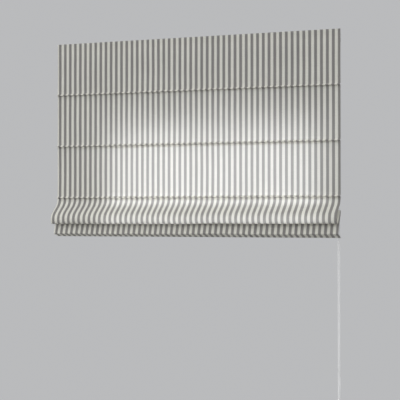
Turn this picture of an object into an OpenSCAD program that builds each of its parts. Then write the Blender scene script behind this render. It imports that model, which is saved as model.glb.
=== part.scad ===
// Roman blind, fixed to a wall, shown partly raised
// X runs along the width, the room is towards -Y and Z is up
// The origin is on the wall, in the middle of the bracket screw holes

/* [Fabric] */
// Width of the fabric
fabric_w = 1300; // [1100:10:2000]
// Thickness of the fabric
fabric_t = 0.8; // [0.6:0.1:1]
// Drop from the top edge to the first crease
top_panel_h = 229; // [150:1:300]
// Drop from one crease to the next
panel_h = 229; // [150:1:300]
// How far the lip above a crease stands forward
lip_reach = 9.5; // [6:0.5:12]
// Height over which the lip curls forward
lip_h = 8; // [7:0.5:14]
// How far the fabric stands above the headrail
top_cover = 6.5; // [6:0.5:12]

/* [Folds] */
// How far the first fold stands forward
fold_1_reach = 65; // [50:1:80]
// Drop from the last crease to the foot of the first fold
fold_1_drop = 114.5; // [106:0.5:130]
// Drop from the last crease to the pleat that rod 4 holds
pleat_drop = 58; // [52:1:60]
// How far the second fold stands forward
fold_2_reach = 36.5; // [32:0.5:44]
// Drop from the last crease to the foot of the second fold
fold_2_drop = 170.5; // [160:0.5:185]

/* [Headrail] */
// Depth of the headrail, front to back
headrail_d = 40; // [38:1:50]
// Height of the headrail
headrail_h = 38; // [37:1:44]
// Wall of the headrail
headrail_wall = 1.4; // [1:0.1:2]
// Lip along each side of the open bottom
headrail_lip = 5; // [3:0.5:6]
// From the fabric's left edge to the headrail's end
headrail_inset = 18; // [15:1:40]
// Headrail's top above the middle of the screw holes
headrail_rise = 20; // [16:1:24]
// Height of the two rails on top that the brackets hold
clip_rail_h = 3; // [2.6:0.2:4]
// Web of the clip rails
clip_rail_t = 1.2; // [1:0.1:1.6]
// How far the clip rails reach outwards
clip_rail_reach = 1.6; // [1.2:0.1:2]
// From the headrail's faces to the webs of the clip rails
clip_rail_inset = 5.6; // [5:0.2:8]
// Height of the hook and loop strips
strip_h = 24; // [15:1:30]
// Thickness of each of the two strips
strip_t = 1.2; // [0.8:0.1:2]
// Thickness of the end cap's plate
end_cap_t = 3; // [2:0.5:5]
// How far the end cap and the control unit reach into the headrail
plug_l = 14; // [12:1:24]
// Wall of the end cap's plug
plug_wall = 2; // [1.5:0.5:3]

/* [Brackets] */
// From the fabric's edges to the middles of the brackets
bracket_inset = 150; // [100:10:250]
// Width of a bracket
bracket_w = 30; // [20:1:50]
// Thickness of the bracket's plate
bracket_t = 2.5; // [2:0.1:4]
// Thickness of the bracket's arm and hooks
bracket_arm_t = 2; // [1.6:0.1:3]
// Room for screw heads between the plate and the headrail
screw_room = 3.5; // [2:0.5:6]
// How far the plate reaches below the middle of the screw holes
bracket_foot = 16; // [13:1:24]
// Distance between a bracket's two screw holes
hole_pitch = 16; // [12:1:20]
// Diameter of a screw hole
hole_d = 4.5; // [3:0.5:6]

/* [Drive] */
// From the headrail's back to the drive axis
axis_set_back = 17.5; // [17.4:0.1:20]
// Side of the square drive shaft
shaft_side = 6; // [5:0.5:7]
// Diameter of the shaft's left journal
journal_d = 5; // [4:0.5:6]
// Radius of a cord spool's barrel
spool_r = 12.5; // [11:0.1:13]
// Width of the barrel between its flanges
spool_w = 24; // [16:1:40]
// How far a spool's flange stands above its barrel
flange_rise = 2.7; // [1.6:0.1:2.9]
// Thickness of a spool's flange
flange_t = 1.2; // [1:0.1:2]
// Radius of the spool's hubs
spool_hub_r = 6.5; // [5.5:0.1:8]
// Thickness of a cradle's plates
cradle_plate_t = 3; // [2:0.5:5]
// Thickness of a cradle's top web
cradle_web_t = 1.6; // [1:0.1:1.8]
// Diameter of the lift cords
cord_d = 1.4; // [1:0.1:1.8]
// From the fabric's edges to the outer lift cords
cord_inset = 200; // [150:10:300]

/* [Control] */
// Radius at which the chain runs round its wheel
wheel_pitch_r = 11.5; // [10.5:0.5:12]
// Diameter of the chain's beads
chain_d = 4.5; // [4:0.1:4.6]
// From the fabric's right edge to the chain
chain_inset = 14; // [13:1:30]
// Wall of the wheel beside its groove
wheel_cheek = 0.75; // [0.6:0.05:1.5]
// How far the wheel's cheeks stand above the chain's line
wheel_rise = 1.2; // [0.5:0.1:1.8]
// Radius of the wheel's hub
wheel_hub_r = 7; // [6.2:0.1:7.4]
// Radius of the wheel's outer stub
wheel_stub_r = 4; // [3:0.5:5]
// Thickness of the housing's inner plate
housing_plate_t = 3; // [2:0.5:4]
// Wall of the housing round the wheel
housing_wall = 1.6; // [1.2:0.1:2]
// Thickness of the housing's cover
cover_t = 1.6; // [1.2:0.1:3]
// Wire of the clutch spring
spring_wire_d = 1.2; // [1:0.1:1.4]
// Number of turns of the clutch spring
spring_turns = 6; // [4:1:7]

/* [Rods] */
// Diameter of the rods
rod_d = 4; // [3:0.5:5]
// Thickness of the pocket tape
tape_t = 0.7; // [0.5:0.1:0.8]
// Height of the tape's sewn flange
tape_h = 12; // [8:1:14]
// From the fabric's edges to the ends of the rods
rod_inset = 10; // [6:1:20]
// Wire of the cord rings
ring_wire_d = 1.6; // [1.2:0.1:1.8]

/* [Bottom bar] */
// Height of the bottom bar
bar_h = 28; // [24:1:30]
// Thickness of the bottom bar
bar_t = 3; // [2:0.1:3.2]
// Drop from the last crease to the bar's top
bar_drop = 75; // [72:1:80]
// From the fabric's edges to the ends of the bar's caps
bar_inset = 18; // [12:1:30]
// Length of a bar cap
bar_cap_l = 2.5; // [2:0.5:6]
// How far the hem's front lies behind the flat panels
hem_set_back = 4.6; // [4:0.1:5]
// How far the turned-up hem runs past the bar's caps
hem_end_gap = 4; // [2:1:8]
// Length of a cord stop
stop_l = 14; // [10:1:18]

/* [Clearances] */
// Gap between a moving piece and its neighbour
seat_gap = 0.3; // [0.2:0.05:0.4]
// Gap between pieces that are fitted together
fit_gap = 0.2; // [0.1:0.05:0.3]
// Radial gap of a turning shaft
run_gap = 0.05; // [0.02:0.01:0.1]

/* [Hidden] */
$fn = 64;

// Planes from the wall to the room
rail_back_y = -(bracket_t + screw_room);
rail_front_y = rail_back_y - headrail_d;
cloth_back_y = rail_front_y - 2 * strip_t;
cloth_mid_y = cloth_back_y - fabric_t / 2;
axis_y = rail_back_y - axis_set_back;

// Levels
rail_top_z = headrail_rise;
rail_bottom_z = rail_top_z - headrail_h;
axis_z = rail_top_z - headrail_h / 2;
cloth_top_z = rail_top_z + top_cover;
clip_rail_top_z = rail_top_z + clip_rail_h;
strip_top_z = rail_top_z - headrail_wall;

// Drops of the creases and of the rods that hold them
last_crease = top_panel_h + 2 * panel_h;
rod_drops = [top_panel_h, top_panel_h + panel_h, last_crease, last_crease + pleat_drop];

// Stations along the width
fabric_half = fabric_w / 2;
chain_x = fabric_half - chain_inset;
groove_r = chain_d / 2 + seat_gap;
wheel_half = groove_r + wheel_cheek;
housing_in_x = chain_x - wheel_half - seat_gap;
housing_out_x = chain_x + wheel_half + seat_gap;
rail_right_x = housing_in_x - housing_plate_t;
rail_left_x = headrail_inset - fabric_half;
plug_in_x = rail_right_x - plug_l;
cover_out_x = housing_out_x + cover_t;
bracket_x = fabric_half - bracket_inset;
cord_pitch = fabric_half - cord_inset;
cord_stations = [-cord_pitch, 0, cord_pitch];

// Rods, tape, rings and cords
pocket_r = rod_d / 2 + fit_gap;
tube_r = pocket_r + tape_t;
tape_y = cloth_back_y + seat_gap;
rod_y = tape_y + tube_r;
cord_y = axis_y - spool_r - seat_gap - cord_d / 2;
ring_mid_r = cord_y - rod_y - tube_r - fit_gap - ring_wire_d / 2;

// Control unit
wheel_r = wheel_pitch_r + wheel_rise;
housing_r = wheel_pitch_r + groove_r + seat_gap;
arch_r = housing_r + housing_wall;
spring_mid_r = wheel_hub_r + seat_gap + spring_wire_d / 2;
spring_room_r = spring_mid_r + spring_wire_d / 2 + seat_gap;
socket_side = shaft_side + fit_gap;
shaft_end_x = rail_right_x - fit_gap;
journal_l = plug_l - seat_gap;

// Bottom bar, in its hem
hem_front_y = cloth_mid_y + hem_set_back;
bar_front_y = hem_front_y + fabric_t / 2 + seat_gap;
hem_back_y = bar_front_y + bar_t + seat_gap + fabric_t / 2;
bar_top_z = cloth_top_z - last_crease - bar_drop;
stop_r = cord_y - hem_back_y - fabric_t / 2 - seat_gap;
stop_bore_r = cord_d / 2 + seat_gap;
stop_top_z = bar_top_z - seat_gap;
knot_r = stop_bore_r + seat_gap;

// Where the turned-up hem is cut off, short of the fabric's sides
hem_end_x = fabric_half - bar_inset + hem_end_gap;
hem_cut_y = cloth_mid_y + hem_set_back / 2;
hem_cut_top_z = bar_top_z + hem_back_y - hem_front_y;
hem_cut_foot_z = cloth_top_z - last_crease - fold_2_drop - fabric_t;

// Points between the route's own points on each of the chain's stretches
chain_steps = 2;
chain_sides = 10;

// Chain, from the wheel's top down its front strand, round the foot and up the back strand
chain_route = [
    [-23.5, 12.5], [-26.5, 12.1], [-29.2, 11], [-31.6, 9.1], [-33.5, 6.8], [-34.6, 4], [-35, 1],
    [-35, -60], [-35, -240], [-35, -480], [-35, -720], [-35, -960], [-35, -1200], [-35, -1440],
    [-35, -1508], [-34.1, -1512.4], [-31.6, -1516.1], [-27.9, -1518.6], [-23.5, -1519.5],
    [-19.1, -1518.6], [-15.4, -1516.1], [-12.9, -1512.4], [-12, -1508],
    [-12, -1440], [-12, -1200], [-12, -960], [-12, -720], [-12, -480], [-12, -240], [-12, -60],
    [-12, 1], [-12.4, 4], [-13.5, 6.8], [-15.4, 9.1], [-17.8, 11], [-20.5, 12.1]
];

// Where the chain's two ends are joined, and the sleeve that joins them
connector_z = -1380;
connector_l = 16;
connector_r = chain_d / 2 + 0.9;

// Curves

// Point at share t between p1 and p2 on the smooth curve through four points
function knot_step(a, b) = max(sqrt(norm(b - a)), 0.001);
function blend_points(a, b, ta, tb, t) = a * (tb - t) / (tb - ta) + b * (t - ta) / (tb - ta);
function curve_point(p0, p1, p2, p3, share) =
    let (t1 = knot_step(p0, p1), t2 = t1 + knot_step(p1, p2), t3 = t2 + knot_step(p2, p3))
    let (t = t1 + share * (t2 - t1))
    let (a1 = blend_points(p0, p1, 0, t1, t), a2 = blend_points(p1, p2, t1, t2, t))
    let (a3 = blend_points(p2, p3, t2, t3, t))
    let (b1 = blend_points(a1, a2, 0, t2, t), b2 = blend_points(a2, a3, t1, t3, t))
    blend_points(b1, b2, t1, t2, t);

// Smooth curve through a list of points, with some steps on each stretch
function smooth(points, steps) =
    let (last = len(points) - 1)
    let (before = 2 * points[0] - points[1], after = 2 * points[last] - points[last - 1])
    [
        for (i = [0 : last - 1], k = [0 : steps - 1])
        curve_point(
            i == 0 ? before : points[i - 1], points[i], points[i + 1],
            i == last - 1 ? after : points[i + 2], k / steps),
        points[last]
    ];

// Smooth curve through the points of a closed loop
function smooth_loop(points, steps) =
    let (n = len(points))
    [
        for (i = [0 : n - 1], k = [0 : steps - 1])
        curve_point(points[(i + n - 1) % n], points[i], points[(i + 1) % n], points[(i + 2) % n], k / steps)
    ];

// Unit direction of a line of points at one of them
function heading(line, i) =
    let (d = line[min(i + 1, len(line) - 1)] - line[max(i - 1, 0)])
    d / norm(d);

// Side of a strip of even thickness along a line of points
function strip_side(line, half) =
    [for (i = [0 : len(line) - 1]) let (d = heading(line, i)) line[i] + half * [-d[1], d[0]]];

function reversed(list) = [for (i = [len(list) - 1 : -1 : 0]) list[i]];

// Cloth in side view: each point is a drop below its reference and a reach forward

// Lip and tuck at a crease, as shares of the lip's height and reach, then in millimetres
lip_curl = [[-1, 0], [-0.7, 0.16], [-0.4, 0.62], [-0.15, 0.93], [0, 1]];
tuck_turn = 1.5;
function lip_line(drop) = concat(
    [for (p = lip_curl) [drop + p[0] * lip_h, p[1] * lip_reach]],
    [
        [drop + 0.8 * tuck_turn, lip_reach - 0.5 * tuck_turn],
        [drop + 0.9 * tuck_turn, lip_reach - 1.3 * tuck_turn],
        [drop + 0.8 * tuck_turn, 0.8 * tuck_turn],
        [drop + 1.1 * tuck_turn, 0.2 * tuck_turn],
        [drop + 2.4 * tuck_turn, 0]
    ]);

// First fold, down its front and round its foot, as shares of its drop and reach
fold_1_front = [
    [0.12, 0.03], [0.19, 0.075], [0.27, 0.17], [0.34, 0.285], [0.41, 0.44], [0.49, 0.61],
    [0.56, 0.76], [0.63, 0.885], [0.71, 0.965], [0.79, 1], [0.87, 0.995], [0.93, 0.96],
    [0.97, 0.9], [0.993, 0.81], [1, 0.7], [0.985, 0.55]
];
// Its back, up to the pleat, as shares of the way there
fold_1_back = [[0.2, 0.27], [0.45, 0.56], [0.72, 0.83], [0.91, 0.95], [1, 1]];
// Second fold, from the pleat down its front and round its foot, as shares of its drop and reach
fold_2_front = [
    [0.13, 0.08], [0.31, 0.34], [0.54, 0.69], [0.7, 0.84], [0.8, 0.95], [0.86, 1],
    [0.895, 0.92], [0.915, 0.7], [0.932, 0.43], [0.953, 0.24], [0.978, 0.13], [0.996, 0.04], [1, -0.03]
];
// Half the width of the pleat's turn, and its height
pleat_turn = 1.6;
pleat_turn_h = 3;

function fold_line(crease) =
    let (foot = fold_1_front[len(fold_1_front) - 1])
    let (foot_point = [foot[0] * fold_1_drop, foot[1] * fold_1_reach])
    let (pleat_in = [pleat_drop + pleat_turn_h, 2 * pleat_turn])
    let (pleat_out = [pleat_drop + pleat_turn_h, 0])
    let (fold_2_h = fold_2_drop - pleat_out[0])
    let (hem_front = -hem_set_back, hem_back = cloth_mid_y - hem_back_y)
    let (hem_turn_r = (hem_front - hem_back) / 2, hem_foot = bar_drop + bar_h)
    [
        for (p = concat(
            [for (p = fold_1_front) [p[0] * fold_1_drop, p[1] * fold_1_reach]],
            [
                for (p = fold_1_back)
                [
                    foot_point[0] + p[0] * (pleat_in[0] - foot_point[0]),
                    foot_point[1] + p[1] * (pleat_in[1] - foot_point[1])
                ]
            ],
            [[pleat_drop, pleat_turn], pleat_out],
            [for (p = fold_2_front) [pleat_out[0] + p[0] * fold_2_h, p[1] * fold_2_reach]],
            [
                [fold_2_drop - 0.28 * (fold_2_drop - hem_foot), 0.7 * hem_front],
                [hem_foot + 0.35 * (fold_2_drop - hem_foot), 0.96 * hem_front],
                [hem_foot, hem_front],
                [hem_foot - bar_h / 2, hem_front],
                [bar_drop + hem_turn_r, hem_front],
                [bar_drop, hem_front],
                [bar_drop - 0.7 * hem_turn_r, hem_front - 0.3 * hem_turn_r],
                [bar_drop - hem_turn_r, hem_front - hem_turn_r],
                [bar_drop - 0.7 * hem_turn_r, hem_back + 0.3 * hem_turn_r],
                [bar_drop, hem_back],
                [bar_drop + hem_turn_r, hem_back],
                [hem_foot - bar_h / 2, hem_back],
                [hem_foot, hem_back]
            ]))
        [crease + p[0], p[1]]
    ];

curve_steps = 4;
cloth_line = concat(
    [[0, 0]],
    smooth(lip_line(rod_drops[0]), curve_steps),
    smooth(lip_line(rod_drops[1]), curve_steps),
    smooth(concat(lip_line(rod_drops[2]), fold_line(last_crease)), curve_steps));

// Shape helpers

// Extrude an outline drawn in Y and Z along X
module along_x(from, to) {
    translate([from, 0, 0])
        rotate([90, 0, 90])
            linear_extrude(to - from)
                children();
}

// Rectangle in the side view from its corners
module side_box(y0, y1, z0, z1) {
    translate([min(y0, y1), min(z0, z1)])
        square([abs(y1 - y0), abs(z1 - z0)]);
}

// Disc on the drive axis in the side view
module axis_disc(r) {
    translate([axis_y, axis_z])
        circle(r = r);
}

// Square on the drive axis in the side view
module axis_square(side) {
    translate([axis_y, axis_z])
        square(side, center = true);
}

// Tube swept along a closed loop in the side view at a station along the width
module loop_tube(x, line, r, sides) {
    n = len(line);
    rings = [
        for (i = [0 : n - 1])
        let (d = line[(i + 1) % n] - line[(i + n - 1) % n], u = d / norm(d))
        for (k = [0 : sides - 1])
        let (a = 360 * k / sides)
        [x + r * cos(a), line[i][0] - r * sin(a) * u[1], line[i][1] + r * sin(a) * u[0]]
    ];
    faces = [
        for (i = [0 : n - 1], k = [0 : sides - 1])
        let (j = (i + 1) % n, m = (k + 1) % sides)
        [i * sides + k, i * sides + m, j * sides + m, j * sides + k]
    ];
    polyhedron(rings, faces, convexity = 8);
}

// Fabric and its fixing

module fabric() {
    outline = concat(strip_side(cloth_line, fabric_t / 2), reversed(strip_side(cloth_line, -fabric_t / 2)));
    color("lightgray")
        difference() {
            along_x(-fabric_half, fabric_half)
                polygon([for (p = outline) [cloth_mid_y - p[1], cloth_top_z - p[0]]]);
            hem_cut();
            mirror([1, 0, 0])
                hem_cut();
        }
}

// What is cut off the turned-up hem at the right
module hem_cut() {
    along_x(hem_end_x, fabric_half + fabric_t)
        side_box(hem_cut_y, hem_back_y + fabric_t, hem_cut_foot_z, hem_cut_top_z);
}

module hook_strip() {
    color("white")
        along_x(rail_left_x, rail_right_x)
            side_box(cloth_back_y, cloth_back_y + strip_t, strip_top_z - strip_h, strip_top_z);
}

module loop_strip() {
    color("whitesmoke")
        along_x(rail_left_x, rail_right_x)
            side_box(rail_front_y - strip_t, rail_front_y, strip_top_z - strip_h, strip_top_z);
}

// Headrail, its end cap and its brackets

// Rail on the headrail's top with a lip that points to one side
module clip_rail(web_y, side) {
    side_box(web_y, web_y - side * clip_rail_t, rail_top_z - headrail_wall / 2, clip_rail_top_z);
    side_box(web_y - side * clip_rail_t, web_y + side * clip_rail_reach,
        clip_rail_top_z - clip_rail_t, clip_rail_top_z);
}

module rail_inside() {
    side_box(rail_front_y + headrail_wall, rail_back_y - headrail_wall,
        rail_bottom_z + headrail_wall, rail_top_z - headrail_wall);
}

// The headrail's inside less a fit, for what is pushed into it
module plug_outline() {
    side_box(rail_front_y + headrail_wall + fit_gap, rail_back_y - headrail_wall - fit_gap,
        rail_bottom_z + headrail_wall + fit_gap, rail_top_z - headrail_wall - fit_gap);
}

module headrail() {
    color("silver")
        along_x(rail_left_x, rail_right_x) {
            difference() {
                side_box(rail_front_y, rail_back_y, rail_bottom_z, rail_top_z);
                rail_inside();
                side_box(rail_front_y + headrail_lip, rail_back_y - headrail_lip,
                    rail_bottom_z - headrail_wall, rail_bottom_z + 2 * headrail_wall);
            }
            clip_rail(rail_front_y + clip_rail_inset, -1);
            clip_rail(rail_back_y - clip_rail_inset, 1);
        }
}

module end_cap() {
    boss_r = journal_d / 2 + run_gap + plug_wall;
    color("white")
        difference() {
            union() {
                along_x(rail_left_x - end_cap_t, rail_left_x)
                    side_box(rail_front_y, rail_back_y, rail_bottom_z, rail_top_z);
                along_x(rail_left_x, rail_left_x + plug_l) {
                    difference() {
                        plug_outline();
                        offset_box(plug_wall);
                    }
                    axis_disc(boss_r);
                    side_box(rail_front_y + headrail_wall + fit_gap + plug_wall / 2,
                        axis_y - boss_r + plug_wall / 2,
                        axis_z - plug_wall / 2, axis_z + plug_wall / 2);
                    side_box(axis_y + boss_r - plug_wall / 2,
                        rail_back_y - headrail_wall - fit_gap - plug_wall / 2,
                        axis_z - plug_wall / 2, axis_z + plug_wall / 2);
                }
            }
            along_x(rail_left_x, rail_left_x + plug_l + end_cap_t)
                axis_disc(journal_d / 2 + run_gap);
        }
}

// The plug's outline drawn in by a wall
module offset_box(wall) {
    side_box(rail_front_y + headrail_wall + fit_gap + wall, rail_back_y - headrail_wall - fit_gap - wall,
        rail_bottom_z + headrail_wall + fit_gap + wall, rail_top_z - headrail_wall - fit_gap - wall);
}

module bracket(x) {
    arm_z = clip_rail_top_z + seat_gap;
    hook_top_z = clip_rail_top_z - clip_rail_t - seat_gap;
    hook_foot_z = rail_top_z + seat_gap;
    front_web_y = rail_front_y + clip_rail_inset;
    back_web_y = rail_back_y - clip_rail_inset;
    hook_y = front_web_y - clip_rail_reach - seat_gap;
    color("gainsboro")
        difference() {
            along_x(x - bracket_w / 2, x + bracket_w / 2) {
                side_box(-bracket_t, 0, -bracket_foot, arm_z + bracket_arm_t);
                side_box(hook_y - bracket_arm_t, 0, arm_z, arm_z + bracket_arm_t);
                side_box(hook_y - bracket_arm_t, hook_y, hook_foot_z, arm_z + bracket_arm_t / 2);
                side_box(hook_y - bracket_arm_t / 2, front_web_y - seat_gap, hook_foot_z, hook_top_z);
                side_box(back_web_y + seat_gap, -bracket_t / 2, hook_foot_z, hook_top_z);
            }
            for (side = [-1, 1])
                translate([x, bracket_t, side * hole_pitch / 2])
                    rotate([90, 0, 0])
                        cylinder(d = hole_d, h = 3 * bracket_t);
        }
}

// Control unit at the right end

// Round the top of the wheel and open below
module arch(r) {
    axis_disc(r);
    side_box(axis_y - r, axis_y + r, rail_bottom_z, axis_z);
}

module control_housing() {
    color("white")
        difference() {
            union() {
                along_x(rail_right_x, housing_in_x)
                    side_box(rail_front_y, rail_back_y, rail_bottom_z, rail_top_z);
                along_x(rail_right_x, housing_out_x)
                    arch(arch_r);
                along_x(plug_in_x, rail_right_x)
                    plug_outline();
            }
            along_x(housing_in_x, housing_out_x + cover_t) {
                axis_disc(housing_r);
                side_box(axis_y - housing_r, axis_y + housing_r, rail_bottom_z - headrail_wall, axis_z);
            }
            along_x(plug_in_x - plug_l, rail_right_x)
                axis_disc(spring_room_r);
            along_x(plug_in_x, housing_out_x)
                axis_disc(wheel_hub_r + run_gap);
        }
}

module control_cover() {
    color("white")
        along_x(housing_out_x, cover_out_x)
            difference() {
                arch(arch_r);
                axis_disc(wheel_stub_r + run_gap);
            }
}

// Spring wound round the wheel's hub
module clutch_spring() {
    steps = 16;
    sides = 6;
    pitch = spring_wire_d + fit_gap;
    start_x = rail_right_x - spring_wire_d;
    n = spring_turns * steps;
    points = [
        for (i = [0 : n], k = [0 : sides - 1])
        let (turn = 360 * i / steps, a = 360 * k / sides)
        let (r = spring_mid_r + spring_wire_d / 2 * cos(a))
        [
            start_x - pitch * i / steps + spring_wire_d / 2 * sin(a),
            axis_y + r * cos(turn),
            axis_z + r * sin(turn)
        ]
    ];
    start_face = [[for (k = [0 : sides - 1]) k]];
    end_face = [[for (k = [sides - 1 : -1 : 0]) n * sides + k]];
    side_faces = [
        for (i = [0 : n - 1], k = [0 : sides - 1])
        let (m = (k + 1) % sides)
        [i * sides + k, (i + 1) * sides + k, (i + 1) * sides + m, i * sides + m]
    ];
    color("lightsteelblue")
        polyhedron(points, concat(start_face, side_faces, end_face), convexity = 8);
}

module chain_wheel() {
    hub_in_x = plug_in_x + seat_gap;
    color("white")
        difference() {
            translate([chain_x, axis_y, axis_z])
                rotate([0, 90, 0])
                    rotate_extrude()
                        difference() {
                            union() {
                                translate([0, -wheel_half])
                                    square([wheel_r, 2 * wheel_half]);
                                translate([0, hub_in_x - chain_x])
                                    square([wheel_hub_r, chain_x - hub_in_x]);
                                square([wheel_stub_r, cover_out_x - chain_x]);
                            }
                            translate([wheel_pitch_r, 0])
                                circle(r = groove_r);
                        }
            along_x(hub_in_x - plug_l, rail_right_x)
                axis_square(socket_side);
        }
}

// Shaft, spools, cradles and lift cords

module drive_shaft() {
    shaft_start_x = rail_left_x + plug_l + seat_gap;
    color("lightgray") {
        along_x(shaft_start_x, shaft_end_x)
            axis_square(shaft_side);
        along_x(shaft_start_x - journal_l, shaft_start_x + shaft_side)
            axis_disc(journal_d / 2);
    }
}

module cord_spool(x) {
    half = spool_w / 2;
    hub_half = half + flange_t + seat_gap + cradle_plate_t;
    color("white")
        along_x_set(x)
            difference() {
                union() {
                    along_x(-hub_half, hub_half)
                        axis_disc(spool_hub_r);
                    along_x(-half - flange_t, half + flange_t)
                        axis_disc(spool_r);
                    for (side = [-1, 1])
                        along_x(side * (half + flange_t / 2) - flange_t / 2,
                            side * (half + flange_t / 2) + flange_t / 2)
                            axis_disc(spool_r + flange_rise);
                }
                along_x(-2 * hub_half, 2 * hub_half)
                    axis_square(socket_side);
            }
}

// Place children at a station along the width
module along_x_set(x) {
    translate([x, 0, 0])
        children();
}

module spool_cradle(x) {
    plate_in = spool_w / 2 + flange_t + seat_gap;
    plate_out = plate_in + cradle_plate_t;
    web_z = rail_top_z - headrail_wall - fit_gap;
    color("gainsboro")
        along_x_set(x) {
            for (side = [-1, 1])
                along_x(min(side * plate_in, side * plate_out), max(side * plate_in, side * plate_out))
                    difference() {
                        plug_outline();
                        axis_disc(spool_hub_r + run_gap);
                    }
            along_x(-plate_out, plate_out)
                side_box(rail_front_y + headrail_wall + fit_gap, rail_back_y - headrail_wall - fit_gap,
                    web_z - cradle_web_t, web_z);
        }
}

module lift_cord(x) {
    foot_z = stop_top_z - stop_l - knot_r;
    color("white")
        translate([x, cord_y, foot_z]) {
            cylinder(d = cord_d, h = axis_z - foot_z);
            sphere(r = knot_r - seat_gap / 2);
        }
}

// Rods in their pockets, with the rings that guide the cords

module pocket_tape(k) {
    z = cloth_top_z - rod_drops[k - 1];
    color("ivory")
        along_x(-fabric_half + rod_inset, fabric_half - rod_inset)
            difference() {
                union() {
                    translate([rod_y, z])
                        circle(r = tube_r);
                    side_box(tape_y, tape_y + tape_t, z - tape_h, z);
                }
                translate([rod_y, z])
                    circle(r = pocket_r);
            }
}

module rod(k) {
    color("whitesmoke")
        along_x(-fabric_half + rod_inset, fabric_half - rod_inset)
            translate([rod_y, cloth_top_z - rod_drops[k - 1]])
                circle(d = rod_d);
}

module cord_rings(k) {
    color("whitesmoke")
        for (x = cord_stations)
            translate([x, cord_y, cloth_top_z - rod_drops[k - 1]])
                rotate_extrude()
                    translate([ring_mid_r, 0])
                        circle(d = ring_wire_d);
}

// Bottom bar in the hem

bar_half = fabric_half - bar_inset - bar_cap_l;

module bar_section() {
    side_box(bar_front_y, bar_front_y + bar_t, bar_top_z - bar_h, bar_top_z);
}

module bottom_bar() {
    color("silver")
        along_x(-bar_half, bar_half)
            bar_section();
}

module bar_cap_left() {
    color("white")
        along_x(-bar_half - bar_cap_l, -bar_half)
            bar_section();
}

module bar_cap_right() {
    color("white")
        along_x(bar_half, bar_half + bar_cap_l)
            bar_section();
}

module cord_stops() {
    color("white")
        for (x = cord_stations)
            translate([x, cord_y, stop_top_z - stop_l])
                difference() {
                    cylinder(r = stop_r, h = stop_l);
                    translate([0, 0, -stop_l / 2])
                        cylinder(r = stop_bore_r, h = 2 * stop_l);
                }
}

// Control chain

module control_chain() {
    color("white")
        loop_tube(chain_x, smooth_loop(chain_route, chain_steps), chain_d / 2, chain_sides);
}

module chain_connector() {
    front_y = axis_y - wheel_pitch_r;
    color("whitesmoke")
        translate([chain_x, front_y, connector_z])
            difference() {
                cylinder(r = connector_r, h = connector_l);
                translate([0, 0, -connector_l / 2])
                    cylinder(r = chain_d / 2 + fit_gap, h = 2 * connector_l);
            }
}

fabric();
hook_strip();
loop_strip();
headrail();
end_cap();
bracket(-bracket_x);  // bracket_left
bracket(bracket_x);  // bracket_right
control_housing();
control_cover();
clutch_spring();
chain_wheel();
drive_shaft();
cord_spool(cord_stations[0]);  // cord_spool_1
cord_spool(cord_stations[1]);  // cord_spool_2
cord_spool(cord_stations[2]);  // cord_spool_3
spool_cradle(cord_stations[0]);  // spool_cradle_1
spool_cradle(cord_stations[1]);  // spool_cradle_2
spool_cradle(cord_stations[2]);  // spool_cradle_3
lift_cord(cord_stations[0]);  // lift_cord_1
lift_cord(cord_stations[1]);  // lift_cord_2
lift_cord(cord_stations[2]);  // lift_cord_3
pocket_tape(1);  // pocket_tape_1
pocket_tape(2);  // pocket_tape_2
pocket_tape(3);  // pocket_tape_3
pocket_tape(4);  // pocket_tape_4
rod(1);  // rod_1
rod(2);  // rod_2
rod(3);  // rod_3
rod(4);  // rod_4
cord_rings(1);  // cord_rings_1
cord_rings(2);  // cord_rings_2
cord_rings(3);  // cord_rings_3
cord_rings(4);  // cord_rings_4
bottom_bar();
bar_cap_left();
bar_cap_right();
cord_stops();
control_chain();
chain_connector();
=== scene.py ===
"""Roman blind in narrow striped cloth, partly raised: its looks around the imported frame, in metres."""

import logging
import math
from dataclasses import dataclass
from enum import Enum

import bpy
import numpy as np
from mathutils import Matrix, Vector


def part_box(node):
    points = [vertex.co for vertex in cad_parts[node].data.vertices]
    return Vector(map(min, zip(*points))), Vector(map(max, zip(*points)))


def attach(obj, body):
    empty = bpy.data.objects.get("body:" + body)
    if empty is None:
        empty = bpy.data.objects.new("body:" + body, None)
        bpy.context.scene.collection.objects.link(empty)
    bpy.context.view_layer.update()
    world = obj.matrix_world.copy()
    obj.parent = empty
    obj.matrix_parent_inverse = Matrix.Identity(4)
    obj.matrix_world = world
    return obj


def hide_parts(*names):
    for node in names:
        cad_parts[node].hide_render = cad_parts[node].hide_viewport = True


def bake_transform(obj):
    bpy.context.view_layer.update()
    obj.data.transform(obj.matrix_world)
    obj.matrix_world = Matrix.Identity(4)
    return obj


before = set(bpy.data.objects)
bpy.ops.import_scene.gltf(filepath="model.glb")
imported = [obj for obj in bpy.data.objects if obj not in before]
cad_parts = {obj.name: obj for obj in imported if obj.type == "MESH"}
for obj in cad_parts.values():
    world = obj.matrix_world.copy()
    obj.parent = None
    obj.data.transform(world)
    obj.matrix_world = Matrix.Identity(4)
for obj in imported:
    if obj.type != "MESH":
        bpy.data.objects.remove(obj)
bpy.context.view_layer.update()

log = logging.getLogger("roman_blind")

Point = tuple[float, float, float]
Colour = tuple[float, float, float]
Triple = tuple[float, float, float]
Span = tuple[float, float]
Face = tuple[int, ...]
Socket = bpy.types.NodeSocket
Source = Socket | float | Colour

MM = 0.001
TURN = 2 * math.pi
FLAT_CUT = "OFBake"


class Body(Enum):
    """Bodies of the frame that pieces ride on."""

    HEADRAIL = "headrail_set"
    DRIVE = "drive"
    ROD_1 = "rod_1_set"
    ROD_2 = "rod_2_set"
    STACK = "bottom_stack"


class Side(Enum):
    """Ends of the blind, as seen from its front."""

    LEFT = -1
    RIGHT = 1


def node_middle(node: str) -> list[float]:
    """Middle of the box of one of the frame's nodes."""
    return [(low + high) / 2 for low, high in zip(*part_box(node))]


# Curves

SHORTEST_KNOT = 0.001


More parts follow.
